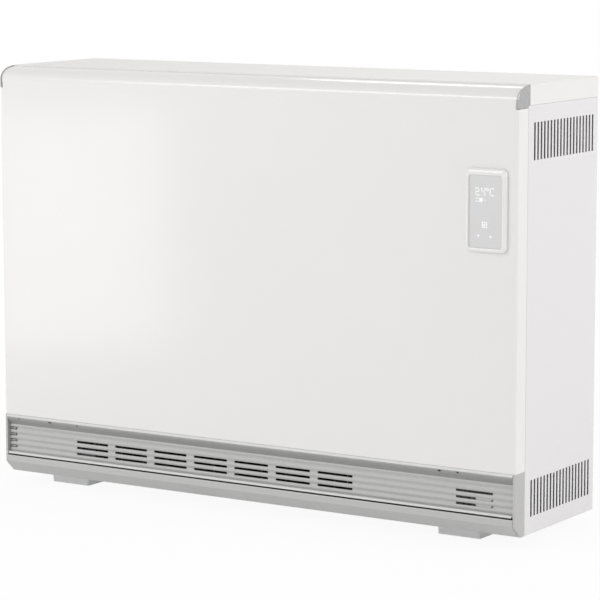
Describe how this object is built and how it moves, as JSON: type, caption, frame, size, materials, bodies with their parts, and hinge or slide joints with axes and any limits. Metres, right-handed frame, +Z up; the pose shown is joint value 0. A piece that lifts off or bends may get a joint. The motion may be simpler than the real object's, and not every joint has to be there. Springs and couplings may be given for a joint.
{
  "type": "fan storage heater",
  "caption": "Low, wide storage heater with a rolled-top steel cabinet on two feet, side vents, a touch control and a slotted outlet grille that tilts forward.",
  "frame": {"origin": "on the floor under the middle of the cabinet's bounding box, which counts the touch control standing 7 mm proud of the front", "axes": "+X to the right seen from the front, +Y from the front towards the wall, +Z up"},
  "size_m": [0.926, 0.257, 0.672],
  "materials": {
    "white_enamel": "satin",
    "white_plastic": "satin",
    "grey_face": "gloss",
    "grey_plastic": "satin",
    "silver_plastic": "satin",
    "silver_metal": "satin",
    "inner_steel": "satin",
    "store_brick": "matte",
    "insulation_board": "matte",
    "rod_steel": "satin",
    "black_plastic": "matte",
    "circuit_board": "satin",
    "red_plastic": "gloss"
  },
  "bodies": {
    "cabinet": {"base_tray": "inner_steel", "foot_left": "white_enamel", "foot_right": "white_enamel", "rear_panel": "white_enamel", "side_panel_left": "white_enamel", "side_panel_right": "white_enamel", "top_cover": "white_enamel", "front_panel": "white_enamel", "roll_cap_left": "grey_plastic", "roll_cap_right": "grey_plastic", "wall_bracket": "inner_steel", "grille_rail": "silver_metal", "skirt_trim": "silver_metal", "grille_end_left": "silver_plastic", "grille_end_right": "silver_plastic", "panel_screw_left": "inner_steel", "panel_screw_right": "inner_steel", "control_bezel": "white_plastic", "control_face": "grey_face", "control_board": "circuit_board", "store_brick_1_1": "store_brick", "store_brick_1_2": "store_brick", "store_brick_1_3": "store_brick", "store_brick_2_1": "store_brick", "store_brick_2_2": "store_brick", "store_brick_2_3": "store_brick", "store_brick_3_1": "store_brick", "store_brick_3_2": "store_brick", "store_brick_3_3": "store_brick", "store_brick_4_1": "store_brick", "store_brick_4_2": "store_brick", "store_brick_4_3": "store_brick", "heating_rod_1": "rod_steel", "heating_rod_2": "rod_steel", "heating_rod_3": "rod_steel", "core_case": "inner_steel", "core_cover": "inner_steel", "insulation_bottom": "insulation_board", "insulation_top": "insulation_board", "insulation_front": "insulation_board", "insulation_rear": "insulation_board", "insulation_left": "insulation_board", "insulation_right": "insulation_board", "fan_stand_left": "inner_steel", "fan_stand_right": "inner_steel", "fan_scroll": "inner_steel", "outlet_duct": "inner_steel", "fan_motor": "inner_steel", "fan_bush": "black_plastic", "flap_actuator": "black_plastic", "partition": "inner_steel", "power_board": "circuit_board", "terminal_block": "white_plastic", "cutout_body": "black_plastic", "cable_gland": "black_plastic"},
    "grille": {"grille_plate": "silver_metal", "lint_filter": "black_plastic"},
    "fan": {"fan_rotor": "black_plastic"},
    "flap": {"air_flap": "inner_steel"},
    "reset": {"reset_button": "red_plastic"}
  },
  "joints": [
    {"name": "grille_tilt", "type": "hinge", "parent": "cabinet", "child": "grille", "pos_m": [0, -0.1188, 0.0526], "axis": [1, 0, 0], "range_deg": [0, 75]},
    {"name": "fan_spin", "type": "hinge", "parent": "cabinet", "child": "fan", "pos_m": [0, -0.0015, 0.076], "axis": [1, 0, 0], "continuous": true},
    {"name": "flap_swing", "type": "hinge", "parent": "cabinet", "child": "flap", "pos_m": [0, -0.058, 0.121], "axis": [1, 0, 0], "range_deg": [0, 85]},
    {"name": "reset_press", "type": "slide", "parent": "cabinet", "child": "reset", "axis": [-1, 0, 0], "range_m": [0, 0.002], "stiffness_N_per_m": 400}
  ]
}
